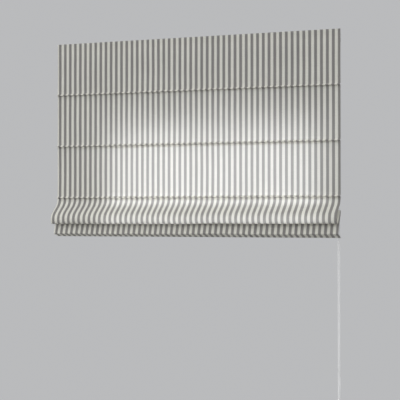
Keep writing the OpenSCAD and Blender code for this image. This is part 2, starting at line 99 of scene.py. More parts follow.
def knot_step(start: np.ndarray, end: np.ndarray) -> float:
    """Spacing of two neighbouring points on a smooth curve."""
    return max(math.sqrt(float(np.linalg.norm(end - start))), SHORTEST_KNOT)


def curve_points(four: list[np.ndarray], steps: int) -> list[np.ndarray]:
    """Points on the stretch between the middle two of four points.

    Args:
        four: Four neighbouring points of a smooth curve.
        steps: How many points to give, from the second point on.

    Returns:
        The points, without the third of the four.
    """
    p0, p1, p2, p3 = four
    t1 = knot_step(p0, p1)
    t2 = t1 + knot_step(p1, p2)
    t3 = t2 + knot_step(p2, p3)
    found = []
    for k in range(steps):
        t = t1 + (t2 - t1) * k / steps
        a1 = p0 * (t1 - t) / t1 + p1 * t / t1
        a2 = p1 * (t2 - t) / (t2 - t1) + p2 * (t - t1) / (t2 - t1)
        a3 = p2 * (t3 - t) / (t3 - t2) + p3 * (t - t2) / (t3 - t2)
        b1 = a1 * (t2 - t) / t2 + a2 * t / t2
        b2 = a2 * (t3 - t) / (t3 - t1) + a3 * (t - t1) / (t3 - t1)
        found.append(b1 * (t2 - t) / (t2 - t1) + b2 * (t - t1) / (t2 - t1))
    return found


def smooth_line(points: list, steps: int, closed: bool = False) -> np.ndarray:
    """Smooth curve through a list of points.

    Args:
        points: Points of the curve, in any number of dimensions.
        steps: Points to give on each stretch.
        closed: Whether the curve is a loop, whose first point is not repeated.

    Returns:
        The curve's points, one row each.
    """
    row = [np.array(p, float) for p in points]
    if closed:
        row = [row[-1], *row, row[0], row[1]]
    else:
        row = [2 * row[0] - row[1], *row, 2 * row[-1] - row[-2]]
    found = []
    for i in range(len(row) - 3):
        found += curve_points(row[i : i + 4], steps)
    return np.array(found if closed else [*found, row[-2]])


def run_lengths(line: np.ndarray) -> np.ndarray:
    """Distance along a line of points to each of them."""
    return np.concatenate([[0.0], np.cumsum(np.linalg.norm(np.diff(line, axis=0), axis=1))])


def at_lengths(line: np.ndarray, lengths: np.ndarray) -> np.ndarray:
    """Points of a line at some distances along it."""
    along = run_lengths(line)
    return np.stack([np.interp(lengths, along, column) for column in line.T], axis=1)


def spaced(line: np.ndarray, count: int) -> np.ndarray:
    """A line of points again, with a number of evenly spaced points."""
    return at_lengths(line, np.linspace(0.0, run_lengths(line)[-1], count))


def filled(line: np.ndarray, longest: float) -> np.ndarray:
    """A line of points with more put in between them.

    Args:
        line: Points of the line, one row each.
        longest: How long a stretch may be.

    Returns:
        The old and new points, one row each.
    """
    found = []
    for start, end in zip(line, line[1:]):
        pieces = max(1, math.ceil(float(np.linalg.norm(end - start)) / longest))
        found += [start + (end - start) * k / pieces for k in range(pieces)]
    return np.array([*found, line[-1]])


def headings(line: np.ndarray, closed: bool = False) -> np.ndarray:
    """Direction of a line at each of its points.

    Args:
        line: Points of the line, one row each.
        closed: Whether the line is a loop.

    Returns:
        One unit vector for each point.
    """
    if closed:
        ahead = np.roll(line, -1, axis=0) - np.roll(line, 1, axis=0)
    else:
        ahead = np.gradient(line, axis=0)
    return ahead / np.linalg.norm(ahead, axis=1)[:, None]


def points_of(*columns: np.ndarray | float) -> np.ndarray:
    """Points from their coordinates, one row each."""
    return np.stack(np.broadcast_arrays(*columns), axis=1)


def full_turn(count: int) -> np.ndarray:
    """Angles evenly spaced round a circle."""
    return np.linspace(0, TURN, count, endpoint=False)


def spokes(count: int, side: np.ndarray, up: np.ndarray) -> np.ndarray:
    """Vectors evenly spaced round a circle, from the two that it starts with."""
    turns = full_turn(count)
    return np.outer(np.cos(turns), side) + np.outer(np.sin(turns), up)


def waves(places: np.ndarray, parts: tuple[Triple, ...]) -> np.ndarray:
    """Sum of sine waves at some places, from the length, start and height of each wave."""
    return sum(height * np.sin(TURN * places / length + start) for length, start, height in parts)


# Meshes

NEARLY_ALONG = 0.1


def ring_faces(rings: int, sides: int, closed: bool = False) -> list[Face]:
    """Faces between neighbouring rings of points.

    Args:
        rings: Number of rings.
        sides: Points in each ring.
        closed: Whether the last ring joins the first.

    Returns:
        Four-sided faces, as indices of the points.
    """
    faces = []
    for i in range(rings if closed else rings - 1):
        here, there = i * sides, (i + 1) % rings * sides
        for k in range(sides):
            after = (k + 1) % sides
            faces.append((here + k, here + after, there + after, there + k))
    return faces


def rod_faces(rings: int, sides: int) -> list[Face]:
    """Faces between neighbouring rings of points and over both ends."""
    ends = [tuple(range(sides - 1, -1, -1)), tuple((rings - 1) * sides + k for k in range(sides))]
    return ring_faces(rings, sides) + ends


class Shape:
    """Vertices and faces of one piece, gathered part by part."""

    def __init__(self) -> None:
        """Start with nothing."""
        self.vertices: list[np.ndarray] = []
        self.faces: list[Face] = []
        self.marks: list[int] = []
        self.count = 0

    def add(self, vertices: np.ndarray, faces: list[Face], mark: int = 0) -> None:
        """Add a part.

        Args:
            vertices: Its points, in the last dimension.
            faces: Its faces, as indices into those points.
            mark: Which of the piece's finishes it has.
        """
        points = np.asarray(vertices, float).reshape(-1, 3)
        self.vertices.append(points)
        self.faces += [tuple(i + self.count for i in face) for face in faces]
        self.marks += [mark] * len(faces)
        self.count += len(points)

    def tube(self, line: np.ndarray, radius: float, sides: int, closed: bool = False, mark: int = 0) -> None:
        """Add a round tube along a line.

        Args:
            line: Points of the tube's middle, one row each.
            radius: The tube's radius.
            sides: Corners of its section.
            closed: Whether the line is a loop.
            mark: Which of the piece's finishes it has.
        """
        ahead = headings(line, closed)
        side = np.cross(ahead[0], (1.0, 0.0, 0.0))
        if np.linalg.norm(side) < NEARLY_ALONG:
            side = np.cross(ahead[0], (0.0, 1.0, 0.0))
        rings = []
        for point, way in zip(line, ahead):
            side = side - way * float(side @ way)
            side /= np.linalg.norm(side)
            rings.append(point + radius * spokes(sides, side, np.cross(way, side)))
        self.add(np.concatenate(rings), ring_faces(len(line), sides, closed), mark)

    def along_x(self, outline: np.ndarray, stations: np.ndarray, shift: np.ndarray) -> None:
        """Add a closed outline drawn in Y and Z and extruded along X, with its ends closed.

        Args:
            outline: The outline's points in Y and Z, one row each.
            stations: Places along X.
            shift: For each station, how far each outline point moves in Y and Z.
        """
        points = np.zeros((len(stations), len(outline), 3))
        points[:, :, 0] = stations[:, None]
        points[:, :, 1:] = outline[None] + shift
        self.add(points, rod_faces(len(stations), len(outline)))

    def piece(self, name: str, *finishes: bpy.types.Material, smooth: bool = True) -> bpy.types.Object:
        """The gathered parts as one object in the scene.

        Args:
            name: The piece's name.
            finishes: Its materials, in the order of the parts' marks.
            smooth: Whether its faces are shaded smooth.

        Returns:
            The new object.
        """
        mesh = bpy.data.meshes.new(name)
        mesh.from_pydata(np.concatenate(self.vertices).tolist(), [], self.faces)
        mesh.polygons.foreach_set("material_index", self.marks)
        mesh.polygons.foreach_set("use_smooth", [smooth] * len(self.faces))
        for finish in finishes:
            mesh.materials.append(finish)
        mesh.update()
        made = bpy.data.objects.new(name, mesh)
        bpy.context.scene.collection.objects.link(made)
        log.info("%s: %d faces", name, len(self.faces))
        return made


@dataclass(frozen=True)
class Stitching:
    """Straight stitches, each with its thickness at some shares of its length.

    No row runs along askew, which gives each stitch its sideways direction.
    """

    pitch: float = 4 * MM
    length: float = 3 * MM
    thread_radius: float = 0.22 * MM
    sides: int = 5
    swell: tuple[Span, ...] = ((0.0, 0.3), (0.2, 0.9), (0.5, 1.0), (0.8, 0.9), (1.0, 0.3))
    askew: Triple = (0.31, 0.84, 0.45)

    def sew(self, shape: Shape, row: np.ndarray) -> None:
        """Add a row of stitches to a shape.

        Args:
            shape: What they are added to.
            row: Points of the line that they follow.
        """
        shares, swell = np.array(self.swell).T
        faces = rod_faces(len(shares), self.sides)
        last = run_lengths(row)[-1] - self.length
        for start in np.arange(0.5 * self.pitch, last, self.pitch):
            middle = at_lengths(row, start + self.length * shares)
            ahead = middle[-1] - middle[0]
            ahead /= np.linalg.norm(ahead)
            side = np.cross(ahead, self.askew)
            side /= np.linalg.norm(side)
            round_it = spokes(self.sides, side, np.cross(ahead, side))
            thick = self.thread_radius * swell[:, None, None]
            shape.add(middle[:, None] + thick * round_it[None], faces)


# Finishes

NOISE = (0.3, 0.7)
BROAD_NOISE = (0.25, 0.75)


class Board:
    """Shader nodes of a material or of the world, and the links between them."""

    def __init__(self, owner: bpy.types.Material | bpy.types.World, output: str = "OutputMaterial") -> None:
        """Start with only the output.

        Args:
            owner: What the nodes belong to.
            output: The output's type, without the prefix that all shader nodes have.
        """
        owner.use_nodes = True
        self.owner = owner
        self.nodes = owner.node_tree.nodes
        self.links = owner.node_tree.links
        self.nodes.clear()
        self.output = self.put(output, {})

    def feed(self, socket: Socket, value: Source) -> None:
        """Link a socket to another one, or set its value.

        Args:
            socket: The socket.
            value: What it gets.
        """
        if isinstance(value, Socket):
            self.links.new(value, socket)
        elif isinstance(value, tuple) and socket.type == "RGBA":
            socket.default_value = (*value, 1.0)
        else:
            socket.default_value = value

    def put(self, kind: str, inputs: dict[str | int, Source], **settings: str) -> bpy.types.Node:
        """Place a node.

        Args:
            kind: The node's type, without the prefix that all shader nodes have.
            inputs: What its sockets get, by name or number.
            settings: Its own settings.

        Returns:
            The new node.
        """
        node = self.nodes.new("ShaderNode" + kind)
        for name, value in settings.items():
            setattr(node, name, value)
        for name, value in inputs.items():
            self.feed(node.inputs[name], value)
        return node

    def math(self, operation: str, first: Source, second: Source = 0.0) -> Socket:
        """Result of an operation on two numbers."""
        return self.put("Math", {0: first, 1: second}, operation=operation).outputs[0]

    def spread(self, value: Source, span: Span, ends: Span) -> Socket:
        """A number moved smoothly from a span to another one, and held at its ends.

        Args:
            value: The number.
            span: The span that it comes from.
            ends: What it becomes at the two ends of that span.

        Returns:
            The moved number.
        """
        names = ("Value", "From Min", "From Max", "To Min", "To Max")
        inputs = dict(zip(names, (value, *span, *ends)))
        return self.put("MapRange", inputs, interpolation_type="SMOOTHSTEP").outputs["Result"]

    def ripple(self, value: Source, length: float) -> Socket:
        """A sine wave of some length along a coordinate."""
        return self.math("SINE", self.math("MULTIPLY", value, TURN / length))

    def blend(self, share: Source, first: Source, second: Source) -> Socket:
        """A colour between two colours."""
        return self.put("Mix", {0: share, 6: first, 7: second}, data_type="RGBA").outputs[2]

    def shade(self, colour: Source, factor: Source) -> Socket:
        """A colour made lighter or darker by a factor."""
        return self.put("VectorMath", {0: colour, "Scale": factor}, operation="SCALE").outputs[0]

    def place(self) -> Socket:
        """Place on the part, in metres."""
        return self.put("TexCoord", {}).outputs["Object"]

    def stretched(self, vector: Source, scale: Triple) -> Socket:
        """Coordinates times a scale of their own for each direction."""
        return self.put("Mapping", {"Vector": vector, "Scale": scale}).outputs[0]

    def noise(self, vector: Source, scale: float = 1.0, detail: float = 2.0) -> Socket:
        """Soft noise from 0 to 1."""
        return self.put("TexNoise", {"Vector": vector, "Scale": scale, "Detail": detail}).outputs[0]

    def bump(self, height: Source, distance: float, strength: float = 1.0) -> Socket:
        """A normal that follows a height map."""
        inputs = {"Height": height, "Distance": distance, "Strength": strength}
        return self.put("Bump", inputs).outputs[0]

    def surface(self, **inputs: Source) -> bpy.types.Node:
        """The main shader, with sockets named in words joined by underscores."""
        named = {name.replace("_", " ").title().replace("Ior", "IOR"): inputs[name] for name in inputs}
        return self.put("BsdfPrincipled", named)

    def mixed(self, share: Source, first: bpy.types.Node, second: bpy.types.Node) -> bpy.types.Node:
        """A shader between two shaders."""
        return self.put("MixShader", {0: share, 1: first.outputs[0], 2: second.outputs[0]})

    def finish(self, shader: bpy.types.Node) -> bpy.types.Material | bpy.types.World:
        """Link a shader to the output and give what the nodes belong to."""
        self.links.new(shader.outputs[0], self.output.inputs["Surface"])
        return self.owner


def new_board(name: str) -> Board:
    """A board for a new material."""
    return Board(bpy.data.materials.new(name))


@dataclass(frozen=True)
class StripedCloth:
    """Yarn-dyed plain weave with even stripes, which lets some light through."""

    width: float
    length: float
    hem: float
    pale: Colour = (0.815, 0.805, 0.72)
    grey: Colour = (0.266, 0.255, 0.248)
    pale_glow: Colour = (0.82, 0.80, 0.78)
    grey_glow: Colour = (0.62, 0.61, 0.56)
    repeat: float = 0.02517
    grey_share: float = 0.5
    first_grey: float = 0.0121
    yarn: float = 0.0008
    see_through: float = 0.32
    slub_fine: float = 1100.0
    slub_long: float = 22.0
    slub_span: Span = (0.6, 1.4)
    cloud: float = 6.0
    wander: float = 0.02
    relief: float = 0.12 * MM

    def material(self) -> bpy.types.Material:
        """Stripes, yarns and their slubs, over a surface that glows when lit from behind.

        Returns:
            The material.
        """
        board = new_board("striped_cloth")
        flat = board.put("UVMap", {}, uv_map=FLAT_CUT)
        apart = board.put("SeparateXYZ", {0: flat.outputs[0]})
        across = board.math("MULTIPLY", apart.outputs[0], self.width)
        along = board.math("MULTIPLY", apart.outputs[1], self.length)
        cut = board.put("CombineXYZ", {0: across, 1: along}).outputs[0]

        warp_slub = board.noise(board.stretched(cut, (self.slub_fine, self.slub_long, 1.0)))
        weft_slub = board.noise(board.stretched(cut, (self.slub_long, self.slub_fine, 1.0)))
        slub = board.math("ADD", warp_slub, weft_slub)
        cloud = board.noise(cut, self.cloud, 3.0)

        wander = board.math("MULTIPLY", board.math("SUBTRACT", weft_slub, 0.5), self.wander)
        start = board.math("SUBTRACT", across, self.hem + self.first_grey)
        turn = board.math("ADD", board.math("DIVIDE", start, self.repeat), wander)
        off_middle = board.math("PINGPONG", turn, 0.5)
        edge = self.grey_share / 2
        soft = 0.5 * self.yarn / self.repeat
        stripe = board.spread(off_middle, (edge - soft, edge + soft), (1.0, 0.0))

        weave = board.math("MULTIPLY", board.ripple(across, self.yarn), board.ripple(along, self.yarn))
        height = board.math("ADD", board.math("MULTIPLY", weave, 0.5), slub)
        normal = board.bump(height, self.relief, 0.7)

        yarns = board.spread(slub, self.slub_span, (0.94, 1.05))
        yarns = board.math("ADD", yarns, board.math("MULTIPLY", weave, 0.03))
        worn = board.math("MULTIPLY", yarns, board.spread(cloud, NOISE, (0.98, 1.02)))
        face = board.surface(
            base_color=board.shade(board.blend(stripe, self.pale, self.grey), worn),
            roughness=board.spread(slub, self.slub_span, (0.78, 0.92)),
            sheen_weight=0.12,
            sheen_roughness=0.45,
            specular_ior_level=0.25,
            normal=normal,
        )
        glow = board.shade(board.blend(stripe, self.pale_glow, self.grey_glow), worn)
        through = board.put("BsdfTranslucent", {"Color": glow, "Normal": normal})
        return board.finish(board.mixed(self.see_through, face, through))


@dataclass(frozen=True)
class WovenTape:
    """Narrow white tape in a fine rib weave."""

    name: str = "woven_tape"
    colour: Colour = (0.84, 0.83, 0.80)
    rib: float = 0.0009
    nap: float = 0.1
    see_through: float = 0.95
    glow: Colour = (0.98, 0.975, 0.96)
    fluff: float = 900.0
    relief: float = 0.15 * MM

    def material(self) -> bpy.types.Material:
        """Ribs across the tape, with uneven yarns.

        Returns:
            The material.
        """
        board = new_board(self.name)
        place = board.place()
        apart = board.put("SeparateXYZ", {0: place}).outputs
        weave = board.math("MULTIPLY", board.ripple(apart[0], self.rib), board.ripple(apart[2], self.rib))
        fluff = board.noise(place, self.fluff)
        tone = board.spread(fluff, NOISE, (0.93, 1.03))
        tone = board.math("ADD", tone, board.math("MULTIPLY", weave, 0.03))
        height = board.math("ADD", board.math("MULTIPLY", weave, 0.4), fluff)
        face = board.surface(
            base_color=board.shade(self.colour, tone),
            roughness=board.spread(fluff, NOISE, (0.78, 0.94)),
            sheen_weight=self.nap,
            normal=board.bump(height, self.relief),
        )
        through = board.put("BsdfTranslucent", {"Color": board.shade(self.glow, tone)})
        return board.finish(board.mixed(self.see_through, face, through))


@dataclass(frozen=True)
class SatinMetal:
    """Drawn or extruded metal, with fine lines along its length."""

    name: str = "satin_aluminium"
    colour: Colour = (0.78, 0.79, 0.80)
    roughness: float = 0.36
    streaks: Triple = (3.0, 1600.0, 1600.0)
    smear: float = 14.0
    relief: float = 0.02 * MM

    def material(self) -> bpy.types.Material:
        """Streaks along X in the gloss, the tone and the height.

        Returns:
            The material.
        """
        board = new_board(self.name)
        lines = board.noise(board.stretched(board.place(), self.streaks), detail=3.0)
        smear = board.noise(board.place(), self.smear, 3.0)
        tone = board.spread(lines, NOISE, (0.95, 1.03))
        tone = board.math("ADD", tone, board.spread(smear, NOISE, (-0.02, 0.02)))
        gloss = (self.roughness - 0.08, self.roughness + 0.1)
        face = board.surface(
            base_color=board.shade(self.colour, tone),
            metallic=1.0,
            roughness=board.spread(lines, BROAD_NOISE, gloss),
            normal=board.bump(lines, self.relief, 0.6),
        )
        return board.finish(face)


@dataclass(frozen=True)
class MouldedPlastic:
    """White plastic with the faint grain of its mould."""

    name: str = "white_plastic"
    colour: Colour = (0.88, 0.88, 0.87)
    roughness: float = 0.4
    grain: float = 1400.0
    relief: float = 0.03 * MM
    cloud: float = 25.0

    def material(self) -> bpy.types.Material:
        """Mould grain in the height and the gloss, with slow changes of tone.

        Returns:
            The material.
        """
        board = new_board(self.name)
        place = board.place()
        grain = board.noise(place, self.grain)
        cloud = board.noise(place, self.cloud, 3.0)
        face = board.surface(
            base_color=board.shade(self.colour, board.spread(cloud, NOISE, (0.965, 1.02))),
            roughness=board.spread(grain, NOISE, (self.roughness - 0.05, self.roughness + 0.07)),
            normal=board.bump(grain, self.relief, 0.6),
        )
        return board.finish(face)


@dataclass(frozen=True)
class GlassFibre:
    """Pale pultruded rod with its fibres showing along it, which lets light through."""

    colour: Colour = (0.87, 0.87, 0.82)
    glow: Colour = (0.96, 0.96, 0.93)
    see_through: float = 0.88
    fibres: Triple = (9.0, 2600.0, 2600.0)
    relief: float = 0.02 * MM

    def material(self) -> bpy.types.Material:
        """Fibres along X under a thin clear skin.

        Returns:
            The material.
        """
        board = new_board("glass_fibre")
        fibres = board.noise(board.stretched(board.place(), self.fibres), detail=3.0)
        tone = board.spread(fibres, BROAD_NOISE, (0.9, 1.04))
        face = board.surface(
            base_color=board.shade(self.colour, tone),
            roughness=board.spread(fibres, NOISE, (0.28, 0.42)),
            coat_weight=0.25,
            coat_roughness=0.2,
            normal=board.bump(fibres, self.relief),
        )
        through = board.put("BsdfTranslucent", {"Color": board.shade(self.glow, tone)})
        return board.finish(board.mixed(self.see_through, face, through))


@dataclass(frozen=True)
class MilkyMoulding:
    """Milky plastic that lets some light through."""

    colour: Colour = (0.93, 0.94, 0.93)
    swirl: float = 160.0

    def material(self) -> bpy.types.Material:
        """Milky swirls in its tone and gloss.

        Returns:
            The material.
        """
        board = new_board("milky_plastic")
        swirl = board.noise(board.place(), self.swirl, 3.0)
        face = board.surface(
            base_color=board.shade(self.colour, board.spread(swirl, NOISE, (0.93, 1.0))),
            roughness=board.spread(swirl, NOISE, (0.12, 0.26)),
            transmission_weight=0.3,
            ior=1.49,
        )
        return board.finish(face)


@dataclass(frozen=True)
class BraidedCord:
    """Thin white cord braided from fine yarns."""

    name: str = "braided_cord"
    colour: Colour = (0.90, 0.90, 0.88)
    lay: float = 0.0016
    slant: float = 2600.0
    fluff: float = 2200.0
    relief: float = 0.1 * MM

    def material(self) -> bpy.types.Material:
        """Two sets of yarns that cross as they wind along Z.

        Returns:
            The material.
        """
        board = new_board(self.name)
        place = board.place()
        apart = board.put("SeparateXYZ", {0: place}).outputs
        round_it = board.math("MULTIPLY", board.math("ADD", apart[0], apart[1]), self.slant)
        up = board.math("MULTIPLY", apart[2], TURN / self.lay)
        right = board.math("SINE", board.math("ADD", up, round_it))
        left = board.math("SINE", board.math("SUBTRACT", up, round_it))
        braid = board.math("MULTIPLY", right, left)
        fluff = board.noise(place, self.fluff)
        tone = board.spread(braid, (-1.0, 1.0), (0.9, 1.02))
        tone = board.math("ADD", tone, board.spread(fluff, NOISE, (-0.03, 0.02)))
        face = board.surface(
            base_color=board.shade(self.colour, tone),
            roughness=board.spread(fluff, NOISE, (0.7, 0.88)),
            sheen_weight=0.1,
            normal=board.bump(board.math("ADD", braid, fluff), self.relief),
        )
        return board.finish(face)


class Finishes:
    """Every finish of the blind but the cloth's, made once."""

    def __init__(self) -> None:
        """Make the materials."""
        self.tape = WovenTape().material()
        self.pile = WovenTape("hook_and_loop", (0.86, 0.86, 0.85), 0.0005, 0.4).material()
        self.thread = BraidedCord("sewing_thread", (0.82, 0.81, 0.77), 0.0009).material()
        self.aluminium = SatinMetal().material()
        self.spring = SatinMetal("spring_wire", (0.55, 0.56, 0.58), 0.3).material()
        self.plastic = MouldedPlastic().material()
        self.beads = MouldedPlastic("bead_plastic", (0.90, 0.90, 0.89), 0.28, 900.0, 0.015 * MM).material()
        self.paint = MouldedPlastic("powder_coat", (0.84, 0.84, 0.83), 0.52, 2200.0, 0.06 * MM).material()
        self.rod = GlassFibre().material()
        self.milky = MilkyMoulding().material()
        self.cord = BraidedCord().material()


# Sub-assemblies


@dataclass
class SubAssembly:
    """Pieces that belong together, and the finishes that they take."""

    finishes: Finishes

    @staticmethod
    def dress(finish: bpy.types.Material, *nodes: str) -> None:
        """Give nodes of the frame a finish.

        Args:
            finish: The material.
            nodes: The nodes' names.
        """
        for name in nodes:
            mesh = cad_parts[name].data
            mesh.materials.clear()
            mesh.materials.append(finish)
            log.info("%s: dressed in %s", name, finish.name)


@dataclass
class BlindFabric(SubAssembly):
    """The cloth: flat panels with a lip over each crease, two soft folds and the bottom hem.

    Outlines hold shares of a drop and a reach. The tuck's points hold turns down, a share of the lip's
    reach and turns out. Those of the hem's turn hold turns down and turns back. A wave has a length,
    a start and a height.
    """

    thickness: float = 0.8 * MM
    lip_reach: float = 9.5 * MM
    lip_height: float = 8 * MM
    tuck_turn: float = 1.5 * MM
    fold_1_reach: float = 65 * MM
    fold_1_drop: float = 114.5 * MM
    pleat_turn: float = 1.6 * MM
    pleat_turn_height: float = 3 * MM
    fold_2_reach: float = 36.5 * MM
    fold_2_drop: float = 170.5 * MM
    hem_set_back: float = 4.6 * MM
    hem_short: float = 14 * MM
    hem_ease: float = 60 * MM
    side_hem: float = 9.7 * MM
    side_hem_gap: float = 0.6 * MM
    side_hem_round: float = 0.3 * MM
    stitch_inset: float = 7.7 * MM
    stitch_proud: float = 0.15 * MM
    columns: int = 150
    longest_row: float = 13 * MM
    lip_steps: int = 3
    fold_steps: int = 4
    lip_curl: tuple[Span, ...] = ((-1, 0), (-0.7, 0.16), (-0.4, 0.62), (-0.15, 0.93), (0, 1))
    tuck: tuple[Triple, ...] = ((0.8, 1, -0.5), (0.9, 1, -1.3), (0.8, 0, 0.8), (1.1, 0, 0.2), (2.4, 0, 0))
    fold_1_front: tuple[Span, ...] = (
        (0.12, 0.03), (0.19, 0.075), (0.27, 0.17), (0.34, 0.285), (0.41, 0.44), (0.49, 0.61),
        (0.56, 0.76), (0.63, 0.885), (0.71, 0.965), (0.79, 1), (0.87, 0.995), (0.93, 0.96),
        (0.97, 0.9), (0.993, 0.81), (1, 0.7), (0.985, 0.55),
    )
    fold_1_back: tuple[Span, ...] = ((0.2, 0.27), (0.45, 0.56), (0.72, 0.83), (0.91, 0.95), (1, 1))
    fold_2_front: tuple[Span, ...] = (
        (0.13, 0.08), (0.31, 0.34), (0.54, 0.69), (0.7, 0.84), (0.8, 0.95), (0.86, 1), (0.895, 0.92),
        (0.915, 0.7), (0.932, 0.43), (0.953, 0.24), (0.978, 0.13), (0.996, 0.04), (1, -0.03),
    )
    hem_rise: tuple[Span, ...] = ((0.72, 0.7), (0.35, 0.96), (0, 1))
    hem_turn: tuple[Span, ...] = ((1, 0), (0, 0), (-0.7, 0.3), (-1, 1), (-0.7, 1.7), (0, 2), (1, 2))
    slow_waves: tuple[Triple, ...] = ((0.61, 0.7, 1.0), (0.37, 2.1, 0.6))
    quick_waves: tuple[Triple, ...] = ((0.23, 4.0, 1.0), (0.142, 1.0, 0.5))
    panel_sway: Span = (0.8 * MM, 0.35 * MM)
    fold_sway: Span = (1.1 * MM, 0.6 * MM)
    foot_sway: Span = (0.7 * MM, 0.4 * MM)
    panel_shift: tuple[int, int] = (17, 29)
    foot_shift: tuple[int, int] = (40, 11)
    fold_lean: float = 2.8 * MM
    held_flat: float = 45 * MM

    def __post_init__(self) -> None:
        """Read the places that the frame gives."""
        low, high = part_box("fabric")
        self.half = (high.x - low.x) / 2
        self.top = high.z
        self.mid_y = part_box("hook_strip")[0].y - self.thickness / 2
        self.drops = [self.top - node_middle(f"rod_{k}")[2] for k in range(1, 5)]
        bar_low, bar_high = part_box("bottom_bar")
        self.crease = self.drops[2]
        self.tuck_height = self.tuck[-1][0] * self.tuck_turn
        self.bar_drop = self.top - bar_high.z - self.crease
        self.bar_foot = self.top - bar_low.z - self.crease
        hem_slack = bar_low.y - self.mid_y - self.hem_set_back
        self.hem_back = self.mid_y - bar_high.y - hem_slack

    def lip_line(self, drop: float) -> list[Span]:
        """The lip and tuck at a crease.

        Args:
            drop: Drop of the crease.

        Returns:
            Drop and reach of its points.
        """
        turn, reach = self.tuck_turn, self.lip_reach
        curl = [(drop + down * self.lip_height, out * reach) for down, out in self.lip_curl]
        tuck = [(drop + down * turn, share * reach + out * turn) for down, share, out in self.tuck]
        return curl + tuck

    def fold_line(self) -> list[Span]:
        """The two folds and the hem, from the last crease on.

        Returns:
            Drop and reach of their points.
        """
        pleat_drop = self.drops[3] - self.crease
        foot = (self.fold_1_front[-1][0] * self.fold_1_drop, self.fold_1_front[-1][1] * self.fold_1_reach)
        pleat_in = (pleat_drop + self.pleat_turn_height, 2 * self.pleat_turn)
        pleat_out = (pleat_drop + self.pleat_turn_height, 0.0)
        rest = self.fold_2_drop - pleat_out[0]
        front, back, foot_z = -self.hem_set_back, self.hem_back, self.bar_foot
        turn = (front - back) / 2
        rise = self.fold_2_drop - foot_z
        points = [(down * self.fold_1_drop, out * self.fold_1_reach) for down, out in self.fold_1_front]
        points += [
            (foot[0] + down * (pleat_in[0] - foot[0]), foot[1] + out * (pleat_in[1] - foot[1]))
            for down, out in self.fold_1_back
        ]
        points += [(pleat_drop, self.pleat_turn), pleat_out]
        points += [(pleat_out[0] + down * rest, out * self.fold_2_reach) for down, out in self.fold_2_front]
        half_way = (foot_z + self.bar_drop) / 2
        points += [(foot_z + up * rise, share * front) for up, share in self.hem_rise]
        points += [(half_way, front)]
        points += [(self.bar_drop + down * turn, front - out * turn) for down, out in self.hem_turn]
        points += [(half_way, back), (foot_z, back)]
        return [(self.crease + down, out) for down, out in points]

    def side_line(self) -> np.ndarray:
        """The whole cloth, as seen from its side.

        Returns:
            Drop and reach of each row of the mesh.
        """
        parts = [
            np.zeros((1, 2)),
            smooth_line(self.lip_line(self.drops[0]), self.lip_steps),
            smooth_line(self.lip_line(self.drops[1]), self.lip_steps),
            smooth_line(self.lip_line(self.crease) + self.fold_line(), self.fold_steps),
        ]
        return filled(np.concatenate(parts), self.longest_row)

    def sway(self, across: np.ndarray, heights: Span, shift: tuple[int, int] = (0, 0)) -> np.ndarray:
        """Slow and quick waves across the cloth.

        Args:
            across: X of each column.
            heights: Height of the slow waves and of the quick ones.
            shift: How many columns each of them is moved along.

        Returns:
            How far each column strays.
        """
        slow = np.roll(waves(across, self.slow_waves), shift[0])
        quick = np.roll(waves(across, self.quick_waves), shift[1])
        return slow * heights[0] + quick * heights[1]

    def slack(self, line: np.ndarray, across: np.ndarray) -> np.ndarray:
        """How far the cloth strays from its even shape, as a soft cloth does.

        Args:
            line: Drop and reach of each row.
            across: X of each column.

        Returns:
            Change of drop and of reach, for each row and column.
        """
        stray = np.zeros((len(line), len(across), 2))
        starts = [self.held_flat, *(drop + self.tuck_height for drop in self.drops)]
        for number, (start, drop) in enumerate(zip(starts, self.drops[:3])):
            share = np.clip((line[:, 0] - start) / (drop - self.lip_height - start), 0, 1)
            swell = np.sin(math.pi * share) ** 2
            shift = (number * self.panel_shift[0], number * self.panel_shift[1])
            stray[:, :, 1] += swell[:, None] * self.sway(across, self.panel_sway, shift)[None]
        below = np.arange(len(line)) > int(np.argmax(line[:, 0] > self.crease + self.tuck_height))
        out = np.clip(line[:, 1] / self.fold_1_reach, 0, 1) * below
        sink = np.maximum((line[:, 0] - self.crease) / self.fold_1_drop, 0) * out
        stray[:, :, 1] += out[:, None] * self.sway(across, self.fold_sway)[None]
        sag = self.sway(across, self.foot_sway, self.foot_shift) - self.fold_lean * across / self.half
        stray[:, :, 0] += sink[:, None] * sag[None]
        return stray

    def columns_across(self) -> tuple[np.ndarray, np.ndarray, int]:
        """Columns of the mesh from hem to hem.

        Returns:
            For each column its X and how far it lies behind the face, and the number of a hem's columns.
        """
        face = np.linspace(-self.half, self.half, self.columns)
        inner, middle = self.half - self.side_hem, self.half - 0.5 * self.side_hem
        hem_x = np.array([inner, middle, self.half, self.half + self.side_hem_round])
        hem_back = self.side_hem_gap * np.array([1.0, 1.0, 1.0, 0.5])
        x = np.concatenate([-hem_x, face, hem_x[::-1]])
        behind = np.concatenate([hem_back, np.zeros(self.columns), hem_back[::-1]])
        return x, behind, len(hem_x)

    def drawn_in(self, line: np.ndarray, across: np.ndarray) -> np.ndarray:
        """X of each row and column, where the turned-up hem stops short of the sides.

        Args:
            line: Drop and reach of each row.
            across: X of each column on the face.

        Returns:
            X of each row and column.
        """
        hem = line[:, 1] < -0.5 * self.hem_set_back
        near_side = np.clip((np.abs(across) - self.half) / self.hem_ease + 1, 0, 1)
        return across[None] - hem[:, None] * (np.sign(across) * near_side * self.hem_short)[None]

    def build(self) -> None:
        """Build and dress the cloth and the stitching of its side hems, and hang them."""
        line = self.side_line()
        x, behind, hem_columns = self.columns_across()
        heading = headings(line)
        rear = points_of(heading[:, 1], -heading[:, 0])
        side = line[:, None] + self.slack(line, x) + rear[:, None] * behind[None, :, None]
        points = np.zeros((len(line), len(x), 3))
        points[:, :, 0] = self.drawn_in(line, x)
        points[:, :, 1] = self.mid_y - side[:, :, 1]
        points[:, :, 2] = self.top - side[:, :, 0]

